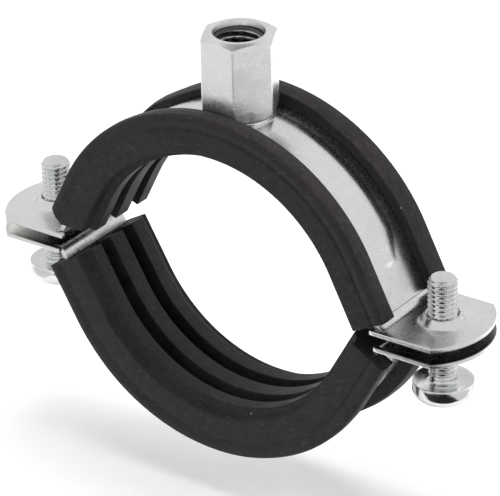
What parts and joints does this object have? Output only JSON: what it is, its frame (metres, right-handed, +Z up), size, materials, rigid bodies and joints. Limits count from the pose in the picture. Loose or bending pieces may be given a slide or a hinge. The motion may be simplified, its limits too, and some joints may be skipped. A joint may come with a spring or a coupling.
{
  "type": "rubber lined pipe clamp",
  "caption": "Two-piece steel pipe clamp with ribbed rubber lining, side clamping screws and a threaded hexagonal connection nut for hanging pipe from a rod.",
  "frame": {"origin": "middle of the gap between the ears, on the clamp's long axis", "axes": "+X across the ears to the right-hand screw, +Y along the pipe, +Z up to the connection nut"},
  "size_m": [0.1142, 0.0236, 0.0891],
  "materials": {
    "zinc_strap": "bright zinc plated, satin, with soft drawn streaks",
    "zinc_nut": "zinc plated, turned ends and drawn flats, grey weld marks at the foot",
    "zinc_screw": "bright zinc plated rolled screw",
    "rubber": "matte moulded rubber with fine dust"
  },
  "bodies": {
    "upper_half": {"upper_strap": "zinc_strap", "upper_lining": "rubber", "connection_nut": "zinc_nut"},
    "lower_half": {"lower_strap": "zinc_strap", "lower_lining": "rubber"},
    "screw_left": {"screw_left": "zinc_screw"},
    "screw_right": {"screw_right": "zinc_screw"}
  },
  "joints": [
    {"name": "lower_half_slide", "type": "slide", "parent": "upper_half", "child": "lower_half", "axis": [0, 0, 1], "range_m": [-0.0083, 0.0007]},
    {"name": "screw_left_travel", "type": "slide", "parent": "lower_half", "child": "screw_left", "axis": [0, 0, 1], "range_m": [-0.004, 0.0083]},
    {"name": "screw_right_travel", "type": "slide", "parent": "lower_half", "child": "screw_right", "axis": [0, 0, 1], "range_m": [-0.004, 0.0083]}
  ]
}
